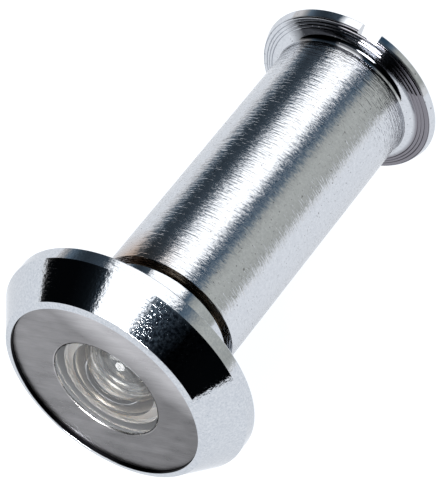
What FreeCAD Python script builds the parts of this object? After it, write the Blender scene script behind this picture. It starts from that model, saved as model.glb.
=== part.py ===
import FreeCAD, Part
import Sketcher
import math
import os
import re

# Door viewer for a 14 mm hole. All sizes are in millimetres.
# +Y runs along the viewer's axis, from the street to the room, and +Z is up.
# The origin is on the axis, where the front flange's back face rests on the door.
# "At" in a name is a place along Y. The sleeve is drawn with a hair's gap left to tighten.

DIMENSIONS = {
    # Front flange of the lens housing
    "rim_front_at": -4.87,
    "rim_outer_at": -4.66,
    "rim_inner_radius": 9.87,
    "rim_outer_radius": 10.5,
    "cone_back_at": -1.37,
    "flange_radius": 12.75,
    "edge_break": 0.12,
    # Face plate, let into the flange inside the rim
    "plate_front_at": -4.45,
    "plate_thickness": 0.5,
    "plate_play": 0.02,
    "lens_window_radius": 5.5,
    "window_chamfer": 0.15,
    # Boss and threaded shank of the lens housing
    "boss_radius": 6.67,
    "boss_end_at": 4.9,
    "shank_end_at": 33.5,
    "shank_neck_length": 0.4,
    "shank_nose_length": 0.8,
    # Screw thread between the housing and the sleeve
    "thread_pitch": 1.0,
    "thread_outer_radius": 6.0,
    "thread_root_radius": 5.46,
    "thread_root_flat": 0.25,
    "thread_flank_tangent": 0.57735,
    "thread_play": 0.09,
    "thread_overcut": 0.1,
    "thread_start_at": 5.45,
    "nut_thread_length": 7.0,
    # Bore of the lens housing
    "objective_seat_radius": 5.95,
    "objective_seat_at": -0.9,
    "bore_lip_radius": 4.1,
    "bore_lip_back_at": -0.2,
    "bore_radius": 4.6,
    "stack_play": 0.04,
    # Objective lens and its seal
    "objective_edge_back_at": -1.5,
    "objective_dome_radius": 5.42,
    "objective_dome_edge_at": -4.38,
    "objective_apex_at": -5.0,
    "objective_bowl_radius": 3.9,
    "objective_bowl_depth": 1.75,
    "objective_back_chamfer": 0.25,
    "seal_inner_radius": 4.7,
    # Lenses and spacers inside the shank
    "second_lens_thickness": 2.2,
    "second_lens_bowl_radius": 3.1,
    "second_lens_bowl_depth": 1.1,
    "front_spacer_length": 5.0,
    "spacer_inner_radius": 3.9,
    "third_lens_edge": 1.4,
    "third_lens_bulge": 0.7,
    "rear_spacer_length": 3.2,
    "stop_radius": 2.6,
    "stop_thickness": 0.5,
    "lock_ring_length": 2.0,
    "lock_ring_inner_radius": 3.3,
    "lock_slot_width": 1.0,
    "lock_slot_depth": 0.8,
    "lock_slot_length": 14.0,
    "slot_overcut": 0.5,
    # Sleeve
    "sleeve_front_at": 5.54,
    "sleeve_radius": 7.0,
    "sleeve_end_chamfer": 0.15,
    "sleeve_mouth_chamfer": 0.45,
    "sleeve_bore_radius": 6.12,
    "sleeve_bore_end_at": 34.6,
    # Rear flange of the sleeve
    "rear_flange_at": 37.2,
    "neck_round": 0.85,
    "rear_ring_radius": 8.7,
    "rear_ring_step": 0.18,
    "rear_rim_front_radius": 9.15,
    "rear_rim_radius": 9.43,
    "rear_rim_back_at": 38.25,
    "rear_crown_radius": 8.35,
    "rear_back_at": 39.1,
    "coin_slot_width": 2.1,
    "coin_slot_floor_at": 37.42,
    "coin_slot_turn": 13.4,
    "coin_slot_length": 24.0,
    # Eyepiece in the rear flange
    "eyepiece_seat_at": 35.5,
    "eyepiece_seat_radius": 5.6,
    "eyepiece_stop_radius": 4.4,
    "eyepiece_washer_thickness": 0.3,
    "eyepiece_play": 0.06,
    "eyepiece_edge": 1.3,
    "eyepiece_bulge": 0.55,
    "eyepiece_ring_inner_radius": 4.1,
    "eyepiece_ring_back_at": 38.6,
    "eyepiece_ring_play": 0.02,
}


def make_sheet(document):
    """The driving dimensions, one to a row, each with its name as alias."""
    sheet = document.addObject("Spreadsheet::Sheet", "Sizes")
    for row, (name, size) in enumerate(DIMENSIONS.items(), start=1):
        sheet.set(f"A{row}", name)
        sheet.set(f"B{row}", str(size))
        sheet.setAlias(f"B{row}", name)
    document.recompute()
    return sheet


def spell(formula):
    """A formula in dimension names, written as the document's expressions need it."""
    return re.sub("[a-z_]+", lambda word: ("Sizes." if word[0] in DIMENSIONS else "") + word[0], formula)


def origin_plane(body, role):
    return next(item for item in body.Origin.OriginFeatures if item.Role == role)


def new_body(label):
    body = document.addObject("PartDesign::Body", label)
    body.Label = label
    body.Placement = FreeCAD.Placement()
    return body


def new_sketch(body, name, role):
    sketch = body.newObject("Sketcher::SketchObject", f"{body.Name}_{name}")
    sketch.AttachmentSupport = [(origin_plane(body, role), "")]
    sketch.MapMode = "FlatFace"
    return sketch


def arc_about(centre, start, end):
    """The shorter arc from one point to another about a centre, stored counter-clockwise."""
    angles = [math.atan2(point.y - centre.y, point.x - centre.x) for point in (start, end)]
    sweep = (angles[1] - angles[0]) % math.tau
    first = angles[0] if sweep < math.pi else angles[1]
    circle = Part.Circle(centre, FreeCAD.Vector(0, 0, 1), start.distanceToPoint(centre))
    return Part.ArcOfCircle(circle, first, first + min(sweep, math.tau - sweep))


def arc_by_radius(start, end, radius):
    """The shorter arc from start to end, with its centre on the left of the way it runs."""
    chord = end - start
    left = FreeCAD.Vector(-chord.y, chord.x, 0).normalize()
    reach = math.sqrt(radius ** 2 - (chord.Length / 2) ** 2)
    return arc_about((start + end) * 0.5 + left * reach, start, end)


def arc_on_axis(start, end):
    """The arc from start to end whose centre is on the sketch's horizontal axis."""
    centre_x = (start.dot(start) - end.dot(end)) / (2 * (start.x - end.x))
    return arc_about(FreeCAD.Vector(centre_x, 0, 0), start, end)


def hold_point(sketch, edge, end, formulas):
    """Fix one end of an edge at its axial and radial place, each bound to the sheet."""
    for axis, kind, formula in zip((-2, -1), ("DistanceX", "DistanceY"), formulas):
        if formula == "0":
            sketch.addConstraint(Sketcher.Constraint("PointOnObject", edge, end, axis))
            continue
        size = float(sizes.evalExpression(spell(formula)))
        index = sketch.addConstraint(Sketcher.Constraint(kind, -1, 1, edge, end, size))
        name = f"{kind}_of_{edge}"
        sketch.renameConstraint(index, name)
        sketch.setExpression(f"Constraints.{name}", spell(formula))


def draw_outline(sketch, corners):
    """A closed outline. Each corner is (along the axis, radius), then how its edge runs.

    The edge that leaves a corner is straight, or "dome", an arc centred on the axis, or
    else a round, and then the third entry is its radius.
    """
    places = []
    for corner in corners:
        at = [float(sizes.evalExpression(spell(formula))) for formula in corner[:2]]
        places.append(FreeCAD.Vector(at[0], at[1], 0))
    ends = []
    for number, corner in enumerate(corners):
        start, end = places[number], places[(number + 1) % len(places)]
        run = corner[2] if len(corner) > 2 else "straight"
        if run == "straight":
            curve = Part.LineSegment(start, end)
        elif run == "dome":
            curve = arc_on_axis(start, end)
        else:
            radius = float(sizes.evalExpression(spell(run)))
            curve = arc_by_radius(start, end, radius)
        edge = sketch.addGeometry(curve, False)
        forward = curve.StartPoint.distanceToPoint(start) < curve.EndPoint.distanceToPoint(start)
        ends.append((edge, 1 if forward else 2, 2 if forward else 1))
        if run == "dome":
            sketch.addConstraint(Sketcher.Constraint("PointOnObject", edge, 3, -1))
        elif run != "straight":
            index = sketch.addConstraint(Sketcher.Constraint("Radius", edge, radius))
            sketch.renameConstraint(index, f"Radius_of_{edge}")
            sketch.setExpression(f"Constraints.Radius_of_{edge}", spell(run))
    for number, corner in enumerate(corners):
        edge, first, last = ends[number]
        before, _, before_end = ends[number - 1]
        sketch.addConstraint(Sketcher.Constraint("Coincident", before, before_end, edge, first))
        hold_point(sketch, edge, first, corner[:2])


def turned_body(label, corners):
    """A body turned from its outline about the viewer's axis."""
    body = new_body(label)
    sketch = new_sketch(body, "outline", "YZ_Plane")
    draw_outline(sketch, corners)
    document.recompute()
    turning = body.newObject("PartDesign::Revolution", f"{label}_turning")
    turning.Profile = sketch
    turning.ReferenceAxis = (sketch, ["H_Axis"])
    turning.Angle = 360
    sketch.Visibility = False
    document.recompute()
    return body


def cut_slot(body, name, width, length, floor_at, back_at, turn_angle="0"):
    """A straight slot across the axis, cut from the back face down to its floor."""
    sketch = new_sketch(body, f"{name}_outline", "XZ_Plane")
    # This plane's own normal is -Y, so a place along +Y is a negative offset.
    sketch.setExpression("AttachmentOffset.Base.z", spell(f"-1 * ({back_at} + slot_overcut)"))
    # The turn needs its axis first, and an offset only keeps the axis of a turn that isn't zero.
    sketch.AttachmentOffset = FreeCAD.Placement(
        FreeCAD.Vector(), FreeCAD.Rotation(FreeCAD.Vector(0, 0, 1), 10))
    sketch.setExpression("AttachmentOffset.Rotation.Angle", spell(f"-1 * {turn_angle}"))
    half_x = float(sizes.evalExpression(spell(width))) / 2
    half_y = float(sizes.evalExpression(spell(length))) / 2
    corners = [(-half_x, -half_y), (half_x, -half_y), (half_x, half_y), (-half_x, half_y)]
    points = [FreeCAD.Vector(x, y, 0) for x, y in corners]
    for number in range(4):
        sketch.addGeometry(Part.LineSegment(points[number], points[(number + 1) % 4]), False)
    for number in range(4):
        sketch.addConstraint(Sketcher.Constraint("Coincident", number, 2, (number + 1) % 4, 1))
    for number, direction in enumerate(("Horizontal", "Vertical") * 2):
        sketch.addConstraint(Sketcher.Constraint(direction, number))
    sketch.addConstraint(Sketcher.Constraint("Symmetric", 0, 1, 2, 1, -1, 1))
    for edge, kind, formula, half in ((0, "DistanceX", width, half_x), (1, "DistanceY", length, half_y)):
        index = sketch.addConstraint(Sketcher.Constraint(kind, edge, 1, edge, 2, 2 * half))
        sketch.renameConstraint(index, f"{kind}_of_slot")
        sketch.setExpression(f"Constraints.{kind}_of_slot", spell(formula))
    document.recompute()
    volume_before = body.Shape.Volume
    pocket = body.newObject("PartDesign::Pocket", f"{body.Name}_{name}")
    pocket.Profile = sketch
    pocket.Reversed = True
    pocket.setExpression("Length", spell(f"{back_at} + slot_overcut - ({floor_at})"))
    sketch.Visibility = False
    document.recompute()
    if body.Shape.Volume >= volume_before:
        raise RuntimeError(f"{pocket.Name} cuts nothing")


def cut_thread(body, name, centre, deep_radius, open_radius, half_flat, length):
    """A right-hand V groove, cut along the axis from its first centre.

    Its floor is at the deep radius and half_flat wide on each side of the centre. Its
    flanks open at 30 degrees up to the open radius, just clear of the uncut surface.
    """
    sketch = new_sketch(body, f"{name}_section", "YZ_Plane")
    depth = f"abs({open_radius} - ({deep_radius}))"
    half_open = f"{half_flat} + {depth} * thread_flank_tangent"
    draw_outline(sketch, [
        (f"{centre} - ({half_flat})", deep_radius),
        (f"{centre} + {half_flat}", deep_radius),
        (f"{centre} + {half_open}", open_radius),
        (f"{centre} - ({half_open})", open_radius),
    ])
    document.recompute()
    volume_before = body.Shape.Volume
    helix = body.newObject("PartDesign::SubtractiveHelix", f"{body.Name}_{name}")
    helix.Profile = sketch
    helix.ReferenceAxis = (sketch, ["H_Axis"])
    helix.Mode = "pitch-height-angle"
    helix.setExpression("Pitch", spell("thread_pitch"))
    helix.setExpression("Height", spell(length))
    helix.Angle = 0
    helix.LeftHanded = False
    sketch.Visibility = False
    document.recompute()
    if body.Shape.Volume >= volume_before:
        raise RuntimeError(f"{helix.Name} cuts nothing")


def make_lens_housing():
    """Front flange with its mirror cone, boss, hollow shank and male screw thread."""
    plate_back = "plate_front_at + plate_thickness"
    body = turned_body("lens_housing", [
        ("rim_front_at", "rim_inner_radius"),
        (plate_back, "rim_inner_radius"),
        (plate_back, "objective_seat_radius"),
        ("objective_seat_at", "objective_seat_radius"),
        ("objective_seat_at", "bore_lip_radius"),
        ("bore_lip_back_at", "bore_lip_radius"),
        ("bore_lip_back_at", "bore_radius"),
        ("shank_end_at", "bore_radius"),
        ("shank_end_at", "thread_outer_radius - shank_nose_length"),
        ("shank_end_at - shank_nose_length", "thread_outer_radius"),
        ("boss_end_at + shank_neck_length", "thread_outer_radius"),
        ("boss_end_at + shank_neck_length", "thread_root_radius"),
        ("boss_end_at", "thread_root_radius"),
        ("boss_end_at", "boss_radius - edge_break"),
        ("boss_end_at - edge_break", "boss_radius"),
        ("0", "boss_radius"),
        ("0", "flange_radius - edge_break"),
        ("-1 * edge_break", "flange_radius"),
        ("cone_back_at", "flange_radius"),
        ("rim_outer_at", "rim_outer_radius"),
    ])
    cut_thread(body, "male_thread", "thread_start_at", "thread_root_radius",
               "thread_outer_radius + thread_overcut", "thread_root_flat / 2",
               "shank_end_at - boss_end_at")


def make_front_optics():
    """Everything that the lens housing holds, from the face plate to the lock ring."""
    plate_back = "plate_front_at + plate_thickness"
    turned_body("face_plate", [
        ("plate_front_at", "lens_window_radius + window_chamfer"),
        ("plate_front_at + window_chamfer", "lens_window_radius"),
        (plate_back, "lens_window_radius"),
        (plate_back, "rim_inner_radius - plate_play"),
        ("plate_front_at", "rim_inner_radius - plate_play"),
    ])
    edge_radius = "objective_seat_radius - stack_play"
    turned_body("objective_lens", [
        ("objective_apex_at", "0", "dome"),
        ("objective_dome_edge_at", "objective_dome_radius"),
        (plate_back, "objective_dome_radius"),
        (plate_back, edge_radius),
        ("objective_edge_back_at - objective_back_chamfer", edge_radius),
        ("objective_edge_back_at", f"{edge_radius} - objective_back_chamfer"),
        ("objective_edge_back_at", "objective_bowl_radius", "dome"),
        ("objective_edge_back_at - objective_bowl_depth", "0"),
    ])
    turned_body("objective_seal", [
        ("objective_edge_back_at", "seal_inner_radius + edge_break"),
        ("objective_edge_back_at + edge_break", "seal_inner_radius"),
        ("objective_seat_at - edge_break", "seal_inner_radius"),
        ("objective_seat_at", "seal_inner_radius + edge_break"),
        ("objective_seat_at", f"{edge_radius} - edge_break"),
        ("objective_seat_at - edge_break", edge_radius),
        ("objective_edge_back_at + edge_break", edge_radius),
        ("objective_edge_back_at", f"{edge_radius} - edge_break"),
    ])
    stack_radius = "bore_radius - stack_play"
    lens_back = "bore_lip_back_at + second_lens_thickness"
    turned_body("second_lens", [
        ("bore_lip_back_at + second_lens_bowl_depth", "0", "dome"),
        ("bore_lip_back_at", "second_lens_bowl_radius"),
        ("bore_lip_back_at", stack_radius),
        (lens_back, stack_radius),
        (lens_back, "0"),
    ])
    spacer_back = f"{lens_back} + front_spacer_length"
    make_spacer("front_spacer", lens_back, spacer_back, "spacer_inner_radius")
    third_back = f"{spacer_back} + third_lens_edge"
    turned_body("third_lens", [
        (f"{spacer_back} - third_lens_bulge", "0", "dome"),
        (spacer_back, "spacer_inner_radius - stack_play"),
        (spacer_back, stack_radius),
        (third_back, stack_radius),
        (third_back, "spacer_inner_radius - stack_play", "dome"),
        (f"{third_back} + third_lens_bulge", "0"),
    ])
    stop_at = f"{third_back} + rear_spacer_length"
    make_spacer("rear_spacer", third_back, stop_at, "spacer_inner_radius")
    stop_back = f"{stop_at} + stop_thickness"
    make_spacer("aperture_stop", stop_at, stop_back, "stop_radius")
    ring_back = f"{stop_back} + lock_ring_length"
    ring = make_spacer("lens_lock_ring", stop_back, ring_back, "lock_ring_inner_radius")
    cut_slot(ring, "spanner_slot", "lock_slot_width", "lock_slot_length",
             f"{ring_back} - lock_slot_depth", ring_back)


def make_spacer(label, front_at, back_at, inner_radius):
    """A plain ring of the lens stack, with its outer edges broken."""
    outer_radius = "bore_radius - stack_play"
    return turned_body(label, [
        (front_at, inner_radius),
        (back_at, inner_radius),
        (back_at, f"{outer_radius} - edge_break"),
        (f"{back_at} - edge_break", outer_radius),
        (f"{front_at} + edge_break", outer_radius),
        (front_at, f"{outer_radius} - edge_break"),
    ])


def make_sleeve():
    """Indoor sleeve with its turned rear flange, coin slot and female screw thread."""
    nut_radius = "thread_root_radius + thread_play"
    nut_end = "sleeve_front_at + nut_thread_length"
    body = turned_body("sleeve", [
        ("sleeve_front_at", f"{nut_radius} + sleeve_mouth_chamfer"),
        ("sleeve_front_at + sleeve_mouth_chamfer", nut_radius),
        (nut_end, nut_radius),
        (f"{nut_end} + sleeve_bore_radius - ({nut_radius})", "sleeve_bore_radius"),
        ("sleeve_bore_end_at", "sleeve_bore_radius"),
        ("sleeve_bore_end_at", "eyepiece_stop_radius"),
        ("eyepiece_seat_at", "eyepiece_stop_radius"),
        ("eyepiece_seat_at", "eyepiece_seat_radius"),
        ("rear_back_at", "eyepiece_seat_radius"),
        ("rear_back_at", "rear_crown_radius"),
        ("rear_rim_back_at", "rear_rim_radius"),
        ("rear_flange_at + rear_ring_step", "rear_rim_front_radius"),
        ("rear_flange_at + rear_ring_step", "rear_ring_radius"),
        ("rear_flange_at", "rear_ring_radius"),
        ("rear_flange_at", "sleeve_radius + neck_round", "neck_round"),
        ("rear_flange_at - neck_round", "sleeve_radius"),
        ("sleeve_front_at + sleeve_end_chamfer", "sleeve_radius"),
        ("sleeve_front_at", "sleeve_radius - sleeve_end_chamfer"),
    ])
    # The sleeve's groove is half a pitch from the shank's, with the play added on each flank.
    root_radius = "thread_outer_radius + thread_play"
    root_half_flat = ("thread_pitch / 2 + thread_play - thread_root_flat / 2"
                      f" - ({root_radius} - thread_root_radius) * thread_flank_tangent")
    cut_thread(body, "female_thread", "thread_start_at - thread_pitch / 2", root_radius,
               f"{nut_radius} - thread_overcut", root_half_flat,
               "nut_thread_length + 2 * thread_pitch")
    cut_slot(body, "coin_slot", "coin_slot_width", "coin_slot_length",
             "coin_slot_floor_at", "rear_back_at", "coin_slot_turn")


def make_eyepiece():
    """Eyepiece lens on its washer, held in the rear flange by a slotted ring."""
    washer_back = "eyepiece_seat_at + eyepiece_play + eyepiece_washer_thickness"
    lens_back = f"{washer_back} + eyepiece_edge"
    outer_radius = "eyepiece_seat_radius - eyepiece_play"
    window_radius = "eyepiece_stop_radius - eyepiece_play"
    turned_body("eyepiece_washer", [
        ("eyepiece_seat_at + eyepiece_play", "eyepiece_stop_radius"),
        (washer_back, "eyepiece_stop_radius"),
        (washer_back, outer_radius),
        ("eyepiece_seat_at + eyepiece_play", outer_radius),
    ])
    turned_body("eyepiece_lens", [
        (f"{washer_back} - eyepiece_bulge", "0", "dome"),
        (washer_back, window_radius),
        (washer_back, outer_radius),
        (lens_back, outer_radius),
        (lens_back, "eyepiece_ring_inner_radius - eyepiece_play", "dome"),
        (f"{lens_back} + eyepiece_bulge", "0"),
    ])
    ring_front = f"{lens_back} + eyepiece_play"
    ring = turned_body("eyepiece_lock_ring", [
        (ring_front, "eyepiece_ring_inner_radius"),
        ("eyepiece_ring_back_at - edge_break", "eyepiece_ring_inner_radius"),
        ("eyepiece_ring_back_at", "eyepiece_ring_inner_radius + edge_break"),
        ("eyepiece_ring_back_at", "eyepiece_seat_radius - eyepiece_ring_play"),
        (ring_front, "eyepiece_seat_radius - eyepiece_ring_play"),
    ])
    cut_slot(ring, "spanner_slot", "lock_slot_width", "lock_slot_length",
             "eyepiece_ring_back_at - lock_slot_depth", "eyepiece_ring_back_at")


def export_parts():
    """Check every object of the document, then write each sub-part to its own file."""
    document.recompute()
    for item in document.Objects:
        if "Invalid" in item.State or "Error" in item.State:
            raise RuntimeError(f"{item.Label} did not build")
    bodies = [item for item in document.Objects if item.TypeId == "PartDesign::Body"]
    for body in bodies:
        if body.Shape.isNull() or not body.Shape.isValid() or len(body.Shape.Solids) != 1:
            raise RuntimeError(f"{body.Label} is not one valid solid")
    for body in bodies:
        body.Shape.exportStep(f"parts/{body.Label}.step")
        print(f"{body.Label}: {body.Shape.Volume:.1f} mm3")


os.makedirs("parts", exist_ok=True)
document = FreeCAD.newDocument("door_viewer")
sizes = make_sheet(document)
make_lens_housing()
make_front_optics()
make_sleeve()
make_eyepiece()
export_parts()
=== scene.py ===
import math

import bmesh
import bpy
from mathutils import Matrix, Vector


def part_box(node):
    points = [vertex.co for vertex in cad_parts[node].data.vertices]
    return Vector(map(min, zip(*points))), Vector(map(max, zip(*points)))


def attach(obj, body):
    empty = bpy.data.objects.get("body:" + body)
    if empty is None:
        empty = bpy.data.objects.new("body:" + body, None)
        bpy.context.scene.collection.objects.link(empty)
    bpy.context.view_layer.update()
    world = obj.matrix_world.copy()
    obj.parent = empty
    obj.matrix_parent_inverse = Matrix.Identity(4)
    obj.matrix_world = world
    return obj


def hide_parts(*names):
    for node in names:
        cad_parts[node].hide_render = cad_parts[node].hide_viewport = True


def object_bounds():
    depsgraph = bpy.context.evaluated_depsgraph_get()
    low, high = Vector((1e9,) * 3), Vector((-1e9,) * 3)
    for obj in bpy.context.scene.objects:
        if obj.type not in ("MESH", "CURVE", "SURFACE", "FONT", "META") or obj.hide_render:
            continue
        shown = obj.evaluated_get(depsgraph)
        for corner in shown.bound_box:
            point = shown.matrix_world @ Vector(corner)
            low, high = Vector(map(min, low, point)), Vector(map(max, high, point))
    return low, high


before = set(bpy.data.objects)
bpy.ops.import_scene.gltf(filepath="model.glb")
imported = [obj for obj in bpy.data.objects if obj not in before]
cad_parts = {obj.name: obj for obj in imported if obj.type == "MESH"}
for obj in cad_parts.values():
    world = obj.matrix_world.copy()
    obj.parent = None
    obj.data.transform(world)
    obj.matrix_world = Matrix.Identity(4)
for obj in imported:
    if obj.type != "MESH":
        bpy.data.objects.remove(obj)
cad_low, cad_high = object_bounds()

# Door viewer. +Y is its axis from the street to the room, and +Z is up. Blender counts in metres, and
# the sizes in this script are millimetres unless it says otherwise.
MM = 0.001


def start_of(node):
    """Where a CAD node starts along the axis, in millimetres."""
    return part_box(node)[0].y / MM


def end_of(node):
    """Where a CAD node ends along the axis, in millimetres."""
    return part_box(node)[1].y / MM


def radius_of(node):
    """A CAD node's largest radius, in millimetres."""
    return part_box(node)[1].x / MM


# ---------------------------------------------------------------- sizes that pieces and finishes share

BOSS_END = 4.9  # where the boss ends and the bare screw thread starts
SEAT_RADIUS = 5.95  # the bore that holds the objective lens
RECESS_RADIUS = 9.87  # the recess that holds the face plate
WINDOW_RADIUS, WINDOW_CHAMFER = 5.5, 0.08  # the face plate's hole

PITCH = 1.0
THREAD_ROOT, THREAD_CREST = 5.46, 6.0
THREAD_PLAY = 0.09
THREAD_START = 5.45
FLANK = math.tan(math.radians(30))
ROOT_HALF_FLAT = 0.125

FLANGE_FACE = 37.2  # the rear flange's underside
STEPS_START, STEP_WIDTH = 8.0, 0.32  # its turned steps, from this radius outwards
SLOT_HALF, SLOT_FLOOR = 1.05, 37.42  # the coin slot's half width, and its floor along the axis
SLOT_TURN = 13.4  # degrees from +Z towards +X


# ---------------------------------------------------------------- mesh helpers

SEGMENTS = 160
ARC_STEPS = 4
DOME_STEPS = 14
SHARP_ANGLE = math.radians(32)


def rounded(corners, closed):
    """The outline with its corners rounded: a corner is (along, radius[, rounding])."""
    outline = []
    count = len(corners)
    for number, corner in enumerate(corners):
        here = Vector(corner[:2])
        rounding = corner[2] if len(corner) > 2 else 0
        if not rounding or (not closed and number in (0, count - 1)):
            outline.append(here)
            continue
        before = (Vector(corners[number - 1][:2]) - here).normalized()
        after = (Vector(corners[(number + 1) % count][:2]) - here).normalized()
        half_angle = before.angle(after) / 2
        setback = rounding / math.tan(half_angle)
        centre = here + (before + after).normalized() * (rounding / math.sin(half_angle))
        first = here + before * setback - centre
        sweep = first.angle_signed(here + after * setback - centre)
        for step in range(ARC_STEPS + 1):
            outline.append(centre + Matrix.Rotation(-sweep * step / ARC_STEPS, 2) @ first)
    return outline


def dome(rim_along, rim_radius, apex_along, opening=False):
    """Points of a spherical cap from its rim to its apex, or from apex to rim when opening."""
    rise = apex_along - rim_along
    sphere = (rim_radius ** 2 + rise ** 2) / (2 * abs(rise))
    reach = math.asin(rim_radius / sphere)
    centre = apex_along - math.copysign(sphere, rise)
    points = []
    for step in range(DOME_STEPS + 1):
        angle = reach * (1 - step / DOME_STEPS)
        points.append((centre + math.copysign(sphere, rise) * math.cos(angle), sphere * math.sin(angle)))
    return points[::-1] if opening else points


def ring_point(along, radius, step):
    angle = math.tau * step / SEGMENTS
    return Vector((radius * math.cos(angle), along, radius * math.sin(angle))) * MM


def add_ring(mesh_data, along, radius):
    """A ring of vertices, or a single one on the axis."""
    if radius < 1e-6:
        return [mesh_data.verts.new((0, along * MM, 0))]
    return [mesh_data.verts.new(ring_point(along, radius, step)) for step in range(SEGMENTS)]


def add_face(mesh_data, corners):
    corners = list(dict.fromkeys(corners))
    if len(corners) > 2:
        mesh_data.faces.new(corners)


def bridge(mesh_data, ring, following):
    if len(ring) == 1 and len(following) == 1:
        return
    for step in range(SEGMENTS):
        after = step + 1
        add_face(mesh_data, [ring[step % len(ring)], ring[after % len(ring)],
                             following[after % len(following)], following[step % len(following)]])


class Thread:
    """A helical groove in a turned surface, given by its section.

    The section lists (offset from the groove's centre, radius) over one pitch, and limit
    is what the bare surface allows at a place along the axis. The groove's centre passes
    +Z at centre and advances right-handed.
    """

    def __init__(self, start, end, pitch, centre, section, limit):
        self.start, self.end, self.pitch, self.centre = start, end, pitch, centre
        self.section, self.limit = section, limit

    def groove_at(self, step):
        """The groove's centre at this column, somewhere before the start."""
        turn = 0.25 - step / SEGMENTS
        here = self.centre + turn * self.pitch
        return here - math.ceil((here - self.start) / self.pitch + 1) * self.pitch

    def radius(self, along, step):
        offset = (along - self.groove_at(step) - self.section[0][0]) % self.pitch + self.section[0][0]
        points = self.section + [(self.section[0][0] + self.pitch, self.section[0][1])]
        for (before, low), (after, high) in zip(points, points[1:]):
            if offset <= after:
                return self.limit(along, low + (high - low) * (offset - before) / (after - before))

    def add(self, mesh_data):
        """Adds the grooved surface and gives its first and last ring."""
        first, last = [], []
        for step in range(SEGMENTS):
            first.append(mesh_data.verts.new(ring_point(self.start, self.radius(self.start, step), step)))
            last.append(mesh_data.verts.new(ring_point(self.end, self.radius(self.end, step), step)))
        per_turn = len(self.section)
        count = (math.ceil((self.end - self.start) / self.pitch) + 4) * per_turn
        begin = self.centre + 0.25 * self.pitch
        begin -= math.ceil((begin - self.start) / self.pitch + 2) * self.pitch
        columns = []
        for step in range(SEGMENTS):
            column = []
            for number in range(count):
                turn, corner = divmod(number, per_turn)
                offset, radius = self.section[corner]
                along = begin + (turn + 1 - step / SEGMENTS) * self.pitch + offset
                if along <= self.start:
                    column.append(first[step])
                elif along >= self.end:
                    column.append(last[step])
                else:
                    point = ring_point(along, self.limit(along, radius), step)
                    column.append(mesh_data.verts.new(point))
            columns.append(column)
        for step in range(SEGMENTS):
            column = columns[step]
            following = columns[(step + 1) % SEGMENTS]
            shift = 0 if step + 1 < SEGMENTS else -per_turn
            for number in range(max(0, -shift), count - 1):
                add_face(mesh_data, [column[number], column[number + 1],
                                     following[number + 1 + shift], following[number + shift]])
        return first, last


def lathe(name, *spans):
    """A solid turned about the viewer's axis.

    Its closed outline is one or more spans: a list of corners, and then more lists or
    Threads. A Thread is joined at whichever of its ends is nearer to the span before it.
    """
    mesh_data = bmesh.new()
    rings = []
    for span in spans:
        if isinstance(span, Thread):
            first, last = span.add(mesh_data)
            reached = rings[-1][0].co.y / MM
            if abs(reached - span.end) < abs(reached - span.start):
                first, last = last, first
            rings += [first, None, last]
        else:
            rings += [add_ring(mesh_data, *point) for point in rounded(span, len(spans) == 1)]
    for number, ring in enumerate(rings):
        following = rings[(number + 1) % len(rings)]
        if ring and following:
            bridge(mesh_data, ring, following)
    bmesh.ops.recalc_face_normals(mesh_data, faces=mesh_data.faces)
    return finish_mesh(name, mesh_data)


def mark_edges(mesh_data):
    """Shades faces smooth and marks the edges that bend too much for it."""
    for face in mesh_data.faces:
        face.smooth = True
    for edge in mesh_data.edges:
        if len(edge.link_faces) == 2:
            edge.smooth = edge.calc_face_angle(0) < SHARP_ANGLE


def finish_mesh(name, mesh_data):
    """Turns a bmesh into a smooth-shaded object whose sharp edges stay crisp."""
    mesh = bpy.data.meshes.new(name)
    mark_edges(mesh_data)
    mesh_data.to_mesh(mesh)
    mesh_data.free()
    piece = bpy.data.objects.new(name, mesh)
    bpy.context.scene.collection.objects.link(piece)
    return piece


def block(name, low, high, turn):
    """A box between two corners, turned about the viewer's axis by degrees."""
    mesh_data = bmesh.new()
    bmesh.ops.create_cube(mesh_data, size=1)
    for vertex in mesh_data.verts:
        for axis in range(3):
            share = vertex.co[axis] + 0.5
            vertex.co[axis] = (low[axis] + (high[axis] - low[axis]) * share) * MM
    rotation = Matrix.Rotation(math.radians(turn), 3, "Y")
    bmesh.ops.rotate(mesh_data, matrix=rotation, verts=mesh_data.verts)
    return finish_mesh(name, mesh_data)


def apply_modifiers(piece):
    """A piece's mesh as its modifiers leave it. They are then taken off the piece."""
    evaluated = piece.evaluated_get(bpy.context.evaluated_depsgraph_get())
    mesh = bpy.data.meshes.new_from_object(evaluated)
    piece.modifiers.clear()
    return mesh


def cut(piece, cutter):
    """Takes the cutter's volume out of a piece, then removes the cutter."""
    boolean = piece.modifiers.new("cut", "BOOLEAN")
    boolean.object = cutter
    boolean.solver = "EXACT"
    mesh = apply_modifiers(piece)
    bpy.data.objects.remove(cutter)
    mesh_data = bmesh.new()
    mesh_data.from_mesh(mesh)
    bmesh.ops.remove_doubles(mesh_data, verts=mesh_data.verts, dist=1e-7)
    mark_edges(mesh_data)
    mesh_data.to_mesh(mesh)
    mesh_data.free()
    piece.data = mesh
    mesh.name = piece.name


def weigh_normals(piece):
    """Lets wide faces keep their own direction beside narrow rounded edges."""
    weighting = piece.modifiers.new("normals", "WEIGHTED_NORMAL")
    weighting.keep_sharp = True
    piece.data = apply_modifiers(piece)


def finish_piece(piece, material, body, slot, *nodes):
    """Gives a piece its material and the body that carries it, and hides the CAD nodes it replaces. The
    slot is not used.
    """
    piece.data.materials.clear()
    piece.data.materials.append(material)
    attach(piece, body)
    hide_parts(*nodes)


# ---------------------------------------------------------------- materials

def new_material(name):
    """A new material, its node tree and its shader."""
    material = bpy.data.materials.new(name)
    material.use_nodes = True
    return material, material.node_tree, material.node_tree.nodes["Principled BSDF"]


def math_node(tree, operation, *values):
    """The result of an operation on values, each a socket or a number."""
    node = tree.nodes.new("ShaderNodeMath")
    node.operation = operation
    for number, value in enumerate(values):
        if isinstance(value, (int, float)):
            node.inputs[number].default_value = value
        else:
            tree.links.new(value, node.inputs[number])
    return node.outputs[0]


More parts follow.
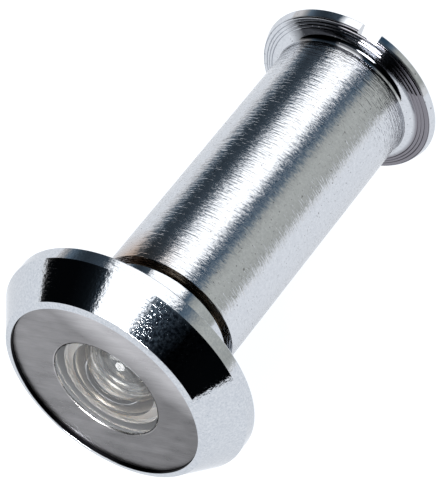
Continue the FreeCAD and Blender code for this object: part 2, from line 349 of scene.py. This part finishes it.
def product(tree, first, *others):
    """Values multiplied together."""
    for other in others:
        first = math_node(tree, "MULTIPLY", first, other)
    return first


def own_place(tree):
    """A point's own x, distance along the axis, z and distance from the axis, in millimetres."""
    coordinates = tree.nodes.new("ShaderNodeTexCoord")
    scaled = tree.nodes.new("ShaderNodeVectorMath")
    scaled.operation = "SCALE"
    scaled.inputs["Scale"].default_value = 1 / MM
    tree.links.new(coordinates.outputs["Object"], scaled.inputs[0])
    split = tree.nodes.new("ShaderNodeSeparateXYZ")
    tree.links.new(scaled.outputs[0], split.inputs[0])
    x, along, z = split.outputs
    squares = math_node(tree, "ADD", product(tree, x, x), product(tree, z, z))
    return x, along, z, math_node(tree, "SQRT", squares)


def reach_towards(tree, x, z, degrees):
    """How far a place lies in a direction round the axis, in degrees from +X towards +Z."""
    angle = math.radians(degrees)
    return math_node(tree, "ADD", product(tree, x, math.cos(angle)), product(tree, z, math.sin(angle)))


def noise(tree, vector, detail=3.0, roughness=0.55, scale=1.0):
    node = tree.nodes.new("ShaderNodeTexNoise")
    node.inputs["Scale"].default_value = scale
    node.inputs["Detail"].default_value = detail
    node.inputs["Roughness"].default_value = roughness
    tree.links.new(vector, node.inputs["Vector"])
    return node.outputs["Fac"]


def grain(tree, size, detail=3.0, roughness=0.55):
    """Even noise with features about size millimetres wide."""
    coordinates = tree.nodes.new("ShaderNodeTexCoord")
    return noise(tree, coordinates.outputs["Object"], detail, roughness, 1 / (size * MM))


def turning_marks(tree, width, around, detail=4.0, roughness=0.65):
    """Rings left by turning: width millimetres apart, broken up about around times a turn."""
    x, along, z, radius = own_place(tree)
    vector = tree.nodes.new("ShaderNodeCombineXYZ")
    steady_radius = math_node(tree, "MAXIMUM", radius, 0.5)
    for value, socket in ((x, "X"), (z, "Y")):
        around_axis = math_node(tree, "DIVIDE", value, steady_radius)
        tree.links.new(product(tree, around_axis, around / 6), vector.inputs[socket])
    across = math_node(tree, "ADD", along, radius)
    tree.links.new(math_node(tree, "DIVIDE", across, width), vector.inputs["Z"])
    return noise(tree, vector.outputs[0], detail, roughness)


def straight_marks(tree, width, length, turn, detail=5.0, roughness=0.65):
    """Straight brush lines across a face, turned about the axis."""
    coordinates = tree.nodes.new("ShaderNodeTexCoord")
    mapping = tree.nodes.new("ShaderNodeMapping")
    mapping.vector_type = "TEXTURE"
    mapping.inputs["Rotation"].default_value = (0, math.radians(turn), 0)
    mapping.inputs["Scale"].default_value = (length * MM, length * MM, width * MM)
    tree.links.new(coordinates.outputs["Object"], mapping.inputs["Vector"])
    return noise(tree, mapping.outputs["Vector"], detail, roughness)


def ranged(tree, value, low, high, first=0.3, last=0.7):
    """A value between first and last spread from low to high, and held beyond them."""
    spread = tree.nodes.new("ShaderNodeMapRange")
    spread.inputs["From Min"].default_value = first
    spread.inputs["From Max"].default_value = last
    spread.inputs["To Min"].default_value = low
    spread.inputs["To Max"].default_value = high
    tree.links.new(value, spread.inputs["Value"])
    return spread.outputs["Result"]


def mixed(tree, factor, first, second):
    """A colour between two colours, each a socket or a plain colour."""
    mix = tree.nodes.new("ShaderNodeMix")
    mix.data_type = "RGBA"
    tree.links.new(factor, mix.inputs["Factor"])
    for value, socket in ((first, mix.inputs["A"]), (second, mix.inputs["B"])):
        if isinstance(value, tuple):
            socket.default_value = (*value, 1)
        else:
            tree.links.new(value, socket)
    return mix.outputs["Result"]


def add_bump(tree, height, distance, under=None):
    """Bump from a height of 0 to 1 that stands for distance millimetres."""
    bump = tree.nodes.new("ShaderNodeBump")
    bump.inputs["Strength"].default_value = 1.0
    bump.inputs["Distance"].default_value = distance * MM
    tree.links.new(height, bump.inputs["Height"])
    if under is not None:
        tree.links.new(under, bump.inputs["Normal"])
    return bump.outputs["Normal"]


CHROME_DARK, CHROME_LIGHT = (0.46, 0.485, 0.52), (0.61, 0.625, 0.645)
# The blotch colour is partly real blotching of the plating, partly a painted dark reflection.
CHROME_PIT, BLOTCH_AND_REFLECTION = (0.3, 0.33, 0.36), (0.07, 0.085, 0.105)
SATIN_DARK, SATIN_LIGHT, SATIN_PIT = (0.42, 0.44, 0.475), (0.70, 0.712, 0.73), (0.2, 0.2, 0.21)
BARE_BRASS = (0.72, 0.62, 0.50)
# Painted shade on the screw thread in the gap behind the boss.
THREAD_SHADE = (0.03, 0.018, 0.011)
# Painted shade: the black of the recess wall beside the face plate.
RECESS_SHADE = (0.01, 0.01, 0.012)
STAIN = (0.40, 0.28, 0.20)
# Painted dark reflection, grey, on the rear flange's underside.
DARK_REFLECTION_GREY = (0.21, 0.2, 0.22)
# Painted shade in the top corner of the rear flange's underside.
CORNER_SHADE = (0.035, 0.037, 0.042)


def turned_tangent(tree, shader, anisotropy):
    """Stretches reflections across the turning marks."""
    tangent = tree.nodes.new("ShaderNodeTangent")
    tangent.direction_type = "RADIAL"
    tangent.axis = "Y"
    tree.links.new(tangent.outputs["Tangent"], shader.inputs["Tangent"])
    shader.inputs["Anisotropic"].default_value = anisotropy
    shader.inputs["Anisotropic Rotation"].default_value = 0.25


def within(tree, value, low, high, softness):
    """1 between low and high, fading to 0 over the softness on either side."""
    rise = ranged(tree, value, 0, 1, low - softness, low)
    fall = ranged(tree, value, 1, 0, high, high + softness)
    return product(tree, rise, fall)


def unless(tree, value):
    """1 where a mask is 0, and 0 where it is 1."""
    return ranged(tree, value, 1, 0, 0, 1)


def pitting(tree, size, amount):
    """Scattered pits in the plating: 1 in a pit, 0 elsewhere."""
    return ranged(tree, grain(tree, size, detail=2), 1, 0, 0.5 - 0.2 / amount, 0.5 - 0.16 / amount)


def mottle_and_painted_reflection(tree, x, along, z, radius):
    """Soft dark blotches on one side of the cone: partly real blotching of the plating, partly a painted
    dark reflection.
    """
    patch_turn, cone_front, cone_back = 60, -4.5, -1.6
    facing = math_node(tree, "DIVIDE", reach_towards(tree, x, z, patch_turn), radius)
    patch = product(tree, ranged(tree, facing, 0, 1, 0.945, 0.99),
                    within(tree, along, cone_front, cone_back, 0.25))
    return product(tree, patch, ranged(tree, grain(tree, 0.27, detail=3), 1, 0, 0.4, 0.66))


def screw_area(tree, along, radius):
    """The shank with its screw thread."""
    return product(tree, ranged(tree, along, 0, 1, BOSS_END - 0.02, BOSS_END),
                   ranged(tree, radius, 1, 0, THREAD_CREST + 0.1, THREAD_CREST + 0.2))


def recess_painted_shade(tree, along, radius):
    """The narrow wall between the rim and the face plate, painted black all round as shade in the recess.
    """
    front, back = start_of("lens_housing") + 0.08, end_of("face_plate") + 0.15
    return product(tree, within(tree, along, front, back, 0.03),
                   within(tree, radius, RECESS_RADIUS - 0.17, RECESS_RADIUS + 0.03, 0.05))


def polished_chrome():
    """Mirror chrome with a faint orange peel. The bore is bare brass, and so is the thread, which is
    painted dark as shade in the gap behind the boss. The recess wall is painted black as shade, and the
    cone's blotched patch is partly a painted dark reflection.
    """
    material, tree, shader = new_material("polished_chrome")
    shader.inputs["Metallic"].default_value = 1.0
    shader.inputs["Specular Tint"].default_value = (0.85, 0.85, 0.85, 1)
    peel = grain(tree, 0.32, detail=2)
    marks = turning_marks(tree, 0.2, 40, detail=3)
    pits = pitting(tree, 0.16, 0.85)
    mottle = grain(tree, 0.22, detail=5, roughness=0.75)
    tint = mixed(tree, ranged(tree, mottle, 0, 1, 0.36, 0.64), CHROME_DARK, CHROME_LIGHT)
    tint = mixed(tree, pits, tint, CHROME_PIT)
    x, along, z, radius = own_place(tree)
    shank = screw_area(tree, along, radius)
    bore = ranged(tree, radius, 1, 0, SEAT_RADIUS + 0.01, SEAT_RADIUS + 0.05)
    bare = math_node(tree, "MAXIMUM", shank, bore)
    # Blotches on the cone: partly real, partly a painted dark reflection.
    tint = mixed(tree, mottle_and_painted_reflection(tree, x, along, z, radius), tint, BLOTCH_AND_REFLECTION)
    # Painted shade on the screw thread: near-black, with bare brass streaks along the turning marks.
    bare_share = ranged(tree, turning_marks(tree, 0.3, 9, detail=4), 0, 0.7, 0.42, 0.66)
    shaded_thread = mixed(tree, bare_share, THREAD_SHADE, BARE_BRASS)
    brass = mixed(tree, shank, BARE_BRASS, shaded_thread)
    # Painted shade: the recess wall is black all round.
    tint = mixed(tree, recess_painted_shade(tree, along, radius), mixed(tree, bare, tint, brass), RECESS_SHADE)
    tree.links.new(tint, shader.inputs["Base Color"])
    roughness = math_node(tree, "MULTIPLY_ADD", pits, 0.12, ranged(tree, peel, 0.03, 0.06))
    roughness = math_node(tree, "MULTIPLY_ADD", bare, 0.25, roughness)
    tree.links.new(roughness, shader.inputs["Roughness"])
    tree.links.new(add_bump(tree, marks, 0.005, add_bump(tree, peel, 0.009)), shader.inputs["Normal"])
    return material


def mouth_stain(tree, x, along, z):
    """A brown stain on top of the sleeve's mouth, which fades along it and towards +X."""
    mouth, length = start_of("sleeve"), 3.96
    stain = product(tree, ranged(tree, along, 0.9, 0, mouth + 0.06, mouth + length),
                    ranged(tree, z, 0, 1, 3.0, 6.0))
    return product(tree, stain, ranged(tree, x, 1, 0, -2.5, 1.0))


def underside_painted_reflection(tree, x, along, radius):
    """A painted dark reflection, grey, on the rear flange's turned underside, strongest towards +X."""
    face = product(tree, within(tree, along, FLANGE_FACE - 0.2, FLANGE_FACE + 0.34, 0.04),
                   ranged(tree, radius, 0, 1, 7.6, 8.0))
    return product(tree, face, ranged(tree, x, 0, 1, -5.0, 0.0))


def slot_area(tree, x, along, z):
    """The walls and the floor of the coin slot."""
    across = reach_towards(tree, x, z, -SLOT_TURN)
    return product(tree, within(tree, across, -SLOT_HALF - 0.01, SLOT_HALF + 0.01, 0.02),
                   ranged(tree, along, 0, 1, SLOT_FLOOR - 0.02, SLOT_FLOOR - 0.01))


def painted_corner_shade(tree, x, along, z, radius):
    """Painted shade in the top corner of the underside. The steps' crests and the coin slot are kept out of
    it.
    """
    corner = within(tree, along, FLANGE_FACE - 0.45, FLANGE_FACE + 0.36, 0.3)
    corner = product(tree, corner, ranged(tree, radius, 1, 0, 9.1, 9.2))
    corner = product(tree, corner, ranged(tree, math_node(tree, "DIVIDE", z, radius), 0, 1, 0.62, 0.8))
    steps = math_node(tree, "MULTIPLY_ADD", radius, 1 / STEP_WIDTH, -STEPS_START / STEP_WIDTH)
    crest = product(tree, ranged(tree, math_node(tree, "FRACT", steps), 1, 0, 0.2, 0.3),
                    ranged(tree, radius, 0, 1, STEPS_START - 0.1, STEPS_START))
    corner = product(tree, corner, ranged(tree, crest, 1, 0.2, 0, 1))
    return product(tree, corner, unless(tree, slot_area(tree, x, along, z)))


def satin_chrome():
    """Plating over turned brass: fine rings, the odd pit, and a stain at the mouth. The rear flange's
    underside has a painted grey reflection and painted shade in its top corner.
    """
    material, tree, shader = new_material("satin_chrome")
    shader.inputs["Metallic"].default_value = 1.0
    shader.inputs["Specular Tint"].default_value = (0.85, 0.85, 0.85, 1)
    rings = turning_marks(tree, 0.18, 30, detail=2, roughness=0.55)
    worn = grain(tree, 0.3, detail=5, roughness=0.75)
    pits = pitting(tree, 0.24, 0.95)
    tint = mixed(tree, worn, SATIN_DARK, SATIN_LIGHT)
    x, along, z, radius = own_place(tree)
    tint = mixed(tree, mouth_stain(tree, x, along, z), tint, STAIN)
    # Painted dark reflection on the flange's underside, strongest towards +X.
    tint = mixed(tree, underside_painted_reflection(tree, x, along, radius), tint, DARK_REFLECTION_GREY)
    # Painted shade in the top corner of the underside.
    tint = mixed(tree, painted_corner_shade(tree, x, along, z, radius), tint, CORNER_SHADE)
    tree.links.new(mixed(tree, pits, tint, SATIN_PIT), shader.inputs["Base Color"])
    underside = ranged(tree, along, 0, 1, FLANGE_FACE - 1.1, FLANGE_FACE - 0.7)
    roughness = ranged(tree, grain(tree, 1.6, detail=4), 0.11, 0.15)
    tree.links.new(math_node(tree, "MULTIPLY_ADD", underside, -0.07, roughness), shader.inputs["Roughness"])
    cut_marks = product(tree, rings, ranged(tree, underside, 1, 0.08, 0, 1))
    tree.links.new(add_bump(tree, cut_marks, 0.076), shader.inputs["Normal"])
    turned_tangent(tree, shader, 0.35)
    return material


def brushed_face():
    """Steel disc brushed in straight lines, with painted light: brighter towards its upper edge and towards
    -X, and a painted highlight at its window's edge.
    """
    brush_turn, painted_light_turn = -24, 68
    material, tree, shader = new_material("brushed_face")
    shader.inputs["Metallic"].default_value = 1.0
    lines = straight_marks(tree, 0.07, 3.5, brush_turn)
    clouds = straight_marks(tree, 1.6, 5, brush_turn, detail=3)
    tint = mixed(tree, lines, (0.155, 0.150, 0.152), (0.285, 0.278, 0.281))
    x, along, z, radius = own_place(tree)
    front = start_of("face_plate")
    window = WINDOW_RADIUS + WINDOW_CHAMFER
    # Painted highlight along the window's chamfer.
    edge = product(tree, ranged(tree, radius, 1, 0, window - 0.01, window + 0.02),
                   ranged(tree, along, 1, 0, front + 0.06, front + 0.09))
    tint = mixed(tree, edge, tint, (0.4, 0.39, 0.39))
    # Painted light: brighter towards the upper edge and towards -X, with random clouds.
    brightness = ranged(tree, reach_towards(tree, x, z, painted_light_turn), 0.82, 1.95, 4.8, 7.6)
    brightness = math_node(tree, "ADD", brightness, ranged(tree, clouds, -0.2, 0.2))
    brightness = math_node(tree, "ADD", brightness, ranged(tree, x, 0.14, -0.16, -6, 6))
    scaled = tree.nodes.new("ShaderNodeVectorMath")
    scaled.operation = "SCALE"
    tree.links.new(tint, scaled.inputs[0])
    tree.links.new(brightness, scaled.inputs["Scale"])
    tree.links.new(scaled.outputs[0], shader.inputs["Base Color"])
    tree.links.new(ranged(tree, clouds, 0.24, 0.38), shader.inputs["Roughness"])
    tree.links.new(add_bump(tree, lines, 0.014), shader.inputs["Normal"])
    return material


def turned_ring(name, dark, light):
    """Turned metal of the inner rings, with fine tool marks."""
    material, tree, shader = new_material(name)
    shader.inputs["Metallic"].default_value = 1.0
    marks = turning_marks(tree, 0.15, 12, detail=3)
    tree.links.new(mixed(tree, marks, dark, light), shader.inputs["Base Color"])
    tree.links.new(ranged(tree, marks, 0.22, 0.34), shader.inputs["Roughness"])
    tree.links.new(add_bump(tree, marks, 0.012), shader.inputs["Normal"])
    return material


def moulded(name, dark, light, low_roughness, high_roughness):
    """Matt moulded rubber or plastic with a fine grain."""
    material, tree, shader = new_material(name)
    fine = grain(tree, 0.2)
    tree.links.new(mixed(tree, fine, dark, light), shader.inputs["Base Color"])
    tree.links.new(ranged(tree, fine, low_roughness, high_roughness), shader.inputs["Roughness"])
    tree.links.new(add_bump(tree, fine, 0.01), shader.inputs["Normal"])
    return material


def clear_glass():
    """Clear glass. Its reflections are made stronger than plain glass's, so that the catchlight shows."""
    material, tree, shader = new_material("clear_glass")
    shader.inputs["Base Color"].default_value = (0.98, 0.99, 0.99, 1)
    shader.inputs["Transmission Weight"].default_value = 1.0
    shader.inputs["IOR"].default_value = 1.5
    shader.inputs["Specular Tint"].default_value = (2, 2, 2, 1)
    tree.links.new(ranged(tree, grain(tree, 1.5, detail=2), 0.0, 0.012), shader.inputs["Roughness"])
    return material


# ---------------------------------------------------------------- pieces

def shank_thread(start, end, nose):
    """The shank's groove. The shank's end is a 45 degree nose of this length."""
    open_half = ROOT_HALF_FLAT + (THREAD_CREST - THREAD_ROOT) * FLANK
    section = [(-open_half, THREAD_CREST), (-ROOT_HALF_FLAT, THREAD_ROOT),
               (ROOT_HALF_FLAT, THREAD_ROOT), (open_half, THREAD_CREST)]
    return Thread(start, end, PITCH, THREAD_START, section,
                  lambda along, radius: min(radius, THREAD_CREST - nose + end - along))


def nut_thread(start, end, mouth, bore):
    """The sleeve's groove, half a pitch from the shank's, with the play added.

    The mouth is a 45 degree chamfer of this length, and the far end opens to the bore.
    """
    crest, root = THREAD_ROOT + THREAD_PLAY, THREAD_CREST + THREAD_PLAY
    root_half = PITCH / 2 + THREAD_PLAY - ROOT_HALF_FLAT - (root - THREAD_ROOT) * FLANK
    open_half = root_half + (root - crest) * FLANK
    section = [(-open_half, crest), (-root_half, root), (root_half, root), (open_half, crest)]
    lead_out = end - (bore - crest)

    def limit(along, radius):
        bare = max(crest, crest + mouth - (along - start), crest + along - lead_out)
        return max(radius, bare)

    return Thread(start, end, PITCH, THREAD_START - PITCH / 2, section, limit)


def make_housing(chrome):
    """Front flange with its rim and cone, the boss, and the hollow threaded shank."""
    flange_radius, boss_radius = radius_of("lens_housing"), 6.67
    front, end, plate_back = start_of("lens_housing"), end_of("lens_housing"), end_of("face_plate")
    neck_end, nose = 5.3, 0.8
    band_front, cone_top_radius = -1.37, 10.5
    ledge, throat_radius = -0.9, 4.1
    barrel_start, barrel_radius = -0.2, 4.6
    shell = lathe("housing_shell", [
        (neck_end, THREAD_ROOT, 0),
        (BOSS_END, THREAD_ROOT, 0),
        (BOSS_END, boss_radius, 0.12),
        (0.0, boss_radius, 0.05),
        (0.0, flange_radius, 0.12),
        (band_front, flange_radius, 0.03),
        (front + 0.21, cone_top_radius, 0.05),
        (front, RECESS_RADIUS, 0.03),
        (plate_back, RECESS_RADIUS, 0),
        (plate_back, SEAT_RADIUS, 0),
        (ledge, SEAT_RADIUS, 0),
        (ledge, throat_radius, 0),
        (barrel_start, throat_radius, 0),
        (barrel_start, barrel_radius, 0),
        (end, barrel_radius, 0),
    ], shank_thread(neck_end, end, nose))
    weigh_normals(shell)
    finish_piece(shell, chrome, "housing", "polished_chrome", "lens_housing")


def make_sleeve(satin):
    """The sleeve with its threaded mouth, and the turned rear flange with its coin slot."""
    sleeve_radius, bore, nut_end, mouth = 7.0, 6.12, 13.11, 0.45
    bore_end, opening = 34.6, 4.4
    seat, seat_radius = 35.5, 5.6
    front, back, face = start_of("sleeve"), end_of("sleeve"), FLANGE_FACE
    shell = lathe("sleeve_shell", [
        (nut_end, bore, 0),
        (bore_end, bore, 0),
        (bore_end, opening, 0),
        (seat, opening, 0),
        (seat, seat_radius, 0),
        (back, seat_radius, 0.08),
        (back, 8.35, 0.2),
        (38.25, 9.43, 0.08),
        (face + 0.30, 9.15, 0.03),
        (face + 0.36, 9.09, 0),
        (face + 0.25, 9.01, 0.02),
        (face + 0.19, 8.74, 0.03),
        (face + 0.25, 8.69, 0),
        (face + 0.13, 8.60, 0.02),
        (face + 0.09, 8.42, 0.03),
        (face + 0.14, 8.37, 0),
        (face + 0.04, 8.28, 0.02),
        (face + 0.0, 8.10, 0.03),
        (face + 0.06, 8.05, 0),
        (face - 0.03, 7.96, 0.02),
        (face - 0.06, sleeve_radius, 0.8),
        (front, sleeve_radius, 0.14),
    ], nut_thread(front, nut_end, mouth, bore))
    past_rim, past_back = 12, back + 2
    low, high = (-SLOT_HALF, SLOT_FLOOR, -past_rim), (SLOT_HALF, past_back, past_rim)
    cut(shell, block("slot_cutter", low, high, SLOT_TURN))
    weigh_normals(shell)
    finish_piece(shell, satin, "indoor_sleeve", "satin_chrome", "sleeve")


def make_face_plate(brushed):
    front, back, edge = start_of("face_plate"), end_of("face_plate"), radius_of("face_plate")
    plate = lathe("brushed_plate", [
        (front, WINDOW_RADIUS + WINDOW_CHAMFER, 0.03),
        (front + WINDOW_CHAMFER, WINDOW_RADIUS, 0.03),
        (back, WINDOW_RADIUS, 0),
        (back, edge, 0),
        (front, edge, 0.05),
    ])
    weigh_normals(plate)
    finish_piece(plate, brushed, "housing", "brushed_face", "face_plate")


def make_objective(glass):
    """The strongly curved front lens: a dome in the plate's window, and a bowl behind it."""
    apex, back, plate_back = start_of("objective_lens"), end_of("objective_lens"), end_of("face_plate")
    dome_rim, dome_radius, edge_radius = -4.38, 5.42, 5.91
    bowl_radius, bowl_depth = 3.9, 1.75
    objective = lathe("objective_glass", [
        *dome(dome_rim, dome_radius, apex, opening=True),
        (plate_back, dome_radius, 0),
        (plate_back, edge_radius, 0),
        (back, edge_radius, 0.25),
        *dome(back, bowl_radius, back - bowl_depth),
    ])
    finish_piece(objective, glass, "housing", "lens_glass", "objective_lens")


def make_second_lens(glass):
    """A lens with a hollow front and a flat back."""
    front, back = start_of("second_lens"), end_of("second_lens")
    bowl_radius, bowl_depth, edge_radius = 3.1, 1.1, 4.56
    second = lathe("second_glass", [
        *dome(front, bowl_radius, front + bowl_depth, opening=True),
        (front, edge_radius, 0.05),
        (back, edge_radius, 0.05),
        (back, 0),
    ])
    finish_piece(second, glass, "housing", "lens_glass", "second_lens")


def make_biconvex_lens(glass, name, node, body, sag, dome_radius, edge_radius):
    """A lens that swells by sag on both sides."""
    front, back = start_of(node), end_of(node)
    lens = lathe(name, [
        *dome(front + sag, dome_radius, front, opening=True),
        (front + sag, edge_radius, 0.05),
        (back - sag, edge_radius, 0.05),
        *dome(back - sag, dome_radius, back),
    ])
    finish_piece(lens, glass, body, "lens_glass", node)


def make_optics(glass):
    """Lenses as smooth turned bodies, in the places of their CAD solids."""
    make_objective(glass)
    make_second_lens(glass)
    make_biconvex_lens(glass, "third_glass", "third_lens", "housing", 0.7, 3.86, 4.56)
    make_biconvex_lens(glass, "eyepiece_glass", "eyepiece_lens", "eyepiece", 0.55, 4.2, 5.54)


def dress_cad_nodes():
    """The inner pieces keep their CAD shape and get their real finish."""
    brass = turned_ring("ring_brass", (0.60, 0.55, 0.50), (0.92, 0.88, 0.83))
    plated = turned_ring("ring_plated", (0.42, 0.42, 0.42), (0.6, 0.6, 0.6))
    seal = moulded("seal_rubber", (0.30, 0.27, 0.24), (0.42, 0.39, 0.35), 0.4, 0.6)
    plastic = moulded("black_plastic", (0.012, 0.012, 0.013), (0.03, 0.03, 0.031), 0.45, 0.7)
    finishes = {
        "front_spacer": brass, "rear_spacer": brass, "lens_lock_ring": brass,
        "eyepiece_lock_ring": plated, "objective_seal": seal,
        "aperture_stop": plastic, "eyepiece_washer": plastic,
    }
    for node, material in finishes.items():
        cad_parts[node].material_slots[0].material = material


# ---------------------------------------------------------------- studio

# The light tent's brightness by direction round the viewer's axis, in degrees from +X towards +Z.
# STOPS_BEHIND is for directions towards the room, and STOPS_AHEAD for those towards the street.
WHITE, COOL, WARM, OLIVE = (1, 1, 1), (0.72, 1.0, 1.3), (1.03, 1.0, 0.99), (1.0, 1.03, 0.98)
BLUE = (0.5, 1.0, 1.6)
SOFTBOX, SOFTBOX_AHEAD = 2.0, 4.5
KEY_LAMP = (0.116, -0.806, 0.582)  # the direction of the small lamp that makes the catchlight
KEY_BRIGHTNESS = (60.0, 60.0, 60.0)
BACKDROP = (1.1, 1.1, 1.1)
STOPS_BEHIND = [
    (-180, 0.85, WARM), (-175, 1.0, WARM), (-150, 1.15, WHITE), (-100, 1.05, WHITE), (-30, 1.1, WHITE),
    (-7, 1.0, WHITE), (2, 0.54, OLIVE), (14, 0.6, OLIVE), (32, 0.66, OLIVE), (44, 0.53, OLIVE),
    (54, 0.22, COOL), (62, 0.09, BLUE), (90, 0.1, BLUE), (120, 0.1, BLUE), (132, 0.09, COOL),
    (150, 0.05, COOL), (160, 0.08, COOL), (168, 0.21, COOL), (174, 0.47, WHITE), (180, 0.85, WARM),
]
STOPS_AHEAD = [
    (-180, 1.05, WHITE), (-150, 1.15, WHITE), (-100, 1.05, WHITE), (-60, 1.1, WHITE), (-12, 1.0, WHITE),
    (-10, 0.002, COOL), (40, 0.002, COOL), (52, 0.03, COOL), (66, 0.1, COOL), (78, 0.2, COOL),
    (118, 0.2, COOL), (129, 0.02, COOL), (136, 0.006, COOL), (150, 0.002, COOL), (179, 0.002, COOL),
    (179.9, 1.0, WHITE),
]


def ramp_round_axis(tree, turn, stops):
    ramp = tree.nodes.new("ShaderNodeValToRGB")
    elements = ramp.color_ramp.elements
    while len(elements) > 1:
        elements.remove(elements[0])
    for number, (degrees, brightness, tint) in enumerate(stops):
        position = degrees / 360 + 0.5
        element = elements[0] if number == 0 else elements.new(position)
        element.position = position
        element.color = (*[brightness * part for part in tint], 1)
    tree.links.new(turn, ramp.inputs["Fac"])
    return ramp.outputs["Color"]


def line(tree, value, slope, start):
    return math_node(tree, "MULTIPLY_ADD", value, slope, start)


def softbox_mask(tree, angle, along):
    """1 inside a long softbox overhead, and 0 well outside it.

    Its half width, in degrees round the axis, is even along its core, tapers towards the
    room, ends quickly towards the street and bulges at one place.
    """
    core_half_width, bulge_half_width, bulge_place = 20, 36.5, 0.545
    degrees = product(tree, angle, math.degrees(1))
    centre = line(tree, along, -6, 99)
    away = math_node(tree, "ABSOLUTE", math_node(tree, "SUBTRACT", degrees, centre))
    core = math_node(tree, "MINIMUM", line(tree, along, -95, 96), core_half_width)
    core = math_node(tree, "MINIMUM", line(tree, along, 300, 202), core)
    off_bulge = math_node(tree, "ABSOLUTE", math_node(tree, "SUBTRACT", along, bulge_place))
    half_width = math_node(tree, "MAXIMUM", core, line(tree, off_bulge, -170, bulge_half_width))
    return ranged(tree, math_node(tree, "SUBTRACT", away, half_width), 1, 0, -6, 3)


def tent_colour(tree, angle, side, depth):
    """The tent's walls. The stops towards the room lean by a few degrees with depth and side."""
    turn = line(tree, angle, 1 / math.tau, 0.5)
    lean = product(tree, ranged(tree, depth, -7 / 360, 8 / 360, 0.3, 0.745),
                   ranged(tree, side, -1.5, 1.0, -0.8, 0.8))
    behind = ramp_round_axis(tree, math_node(tree, "ADD", turn, lean), STOPS_BEHIND)
    towards_room = ranged(tree, depth, 0, 1, -0.18, -0.08)
    return mixed(tree, towards_room, ramp_round_axis(tree, turn, STOPS_AHEAD), behind)


def lamp_disc(tree, direction):
    """1 inside the small lamp's disc, and 0 outside it."""
    towards_lamp = tree.nodes.new("ShaderNodeVectorMath")
    towards_lamp.operation = "DOT_PRODUCT"
    towards_lamp.inputs[1].default_value = KEY_LAMP
    tree.links.new(direction, towards_lamp.inputs[0])
    return ranged(tree, towards_lamp.outputs["Value"], 0, 1, 0.977, 0.981)


def make_world():
    """A light tent, bright below and dark above, with a long softbox overhead and a small lamp."""
    world = bpy.data.worlds.new("light_tent")
    bpy.context.scene.world = world
    world.use_nodes = True
    tree = world.node_tree
    direction = tree.nodes.new("ShaderNodeTexCoord").outputs["Generated"]
    split = tree.nodes.new("ShaderNodeSeparateXYZ")
    tree.links.new(direction, split.inputs[0])
    side, depth, height = split.outputs
    angle = math_node(tree, "ARCTAN2", height, side)
    softbox = ranged(tree, depth, SOFTBOX_AHEAD, SOFTBOX, -0.45, -0.3)
    tent = mixed(tree, softbox_mask(tree, angle, depth), tent_colour(tree, angle, side, depth), softbox)
    tent = mixed(tree, lamp_disc(tree, direction), tent, KEY_BRIGHTNESS)
    camera_ray = tree.nodes.new("ShaderNodeLightPath").outputs["Is Camera Ray"]
    tree.links.new(mixed(tree, camera_ray, tent, BACKDROP), tree.nodes["Background"].inputs["Color"])


def make_floor():
    """A pale glowing table, on which shadows stay faint.

    Its outline, in metres, ends beside the viewer on the +X side, where the tent shows instead.
    """
    mesh_data = bmesh.new()
    corners = [(-3, -3), (0.13, -3), (0.13, -0.058), (0.19, 0.13), (0.3, 3), (-3, 3)]
    mesh_data.faces.new([mesh_data.verts.new((x, y, cad_low.z - 0.02 * MM)) for x, y in corners])
    floor = finish_mesh("floor", mesh_data)
    material, _, shader = new_material("pale_floor")
    shader.inputs["Base Color"].default_value = (0.07, 0.07, 0.07, 1)
    shader.inputs["Roughness"].default_value = 0.9
    shader.inputs["Specular IOR Level"].default_value = 0.0
    shader.inputs["Emission Color"].default_value = (0.97, 1.0, 1.05, 1)
    shader.inputs["Emission Strength"].default_value = 1.0
    floor.data.materials.append(material)


def make_camera():
    """Looks at the viewer's middle from the street side, above and to the right."""
    azimuth, elevation, distance = math.radians(31.8), math.radians(50.13), 281.06
    target = Vector((-0.19, 15.12, 0)) * MM
    back = Vector((math.sin(azimuth) * math.cos(elevation),
                   -math.cos(azimuth) * math.cos(elevation), math.sin(elevation)))
    data = bpy.data.cameras.new("camera")
    data.lens = 225.96
    data.sensor_width = 36
    data.clip_start, data.clip_end = 0.01, 10  # metres
    camera = bpy.data.objects.new("camera", data)
    bpy.context.scene.collection.objects.link(camera)
    camera.location = target + back * distance * MM
    camera.rotation_mode = "QUATERNION"
    camera.rotation_quaternion = (-back).to_track_quat("-Z", "Y")
    bpy.context.scene.camera = camera


make_housing(polished_chrome())
make_sleeve(satin_chrome())
make_face_plate(brushed_face())
make_optics(clear_glass())
dress_cad_nodes()
make_world()
make_floor()
make_camera()
bpy.context.scene.view_settings.view_transform = "Standard"
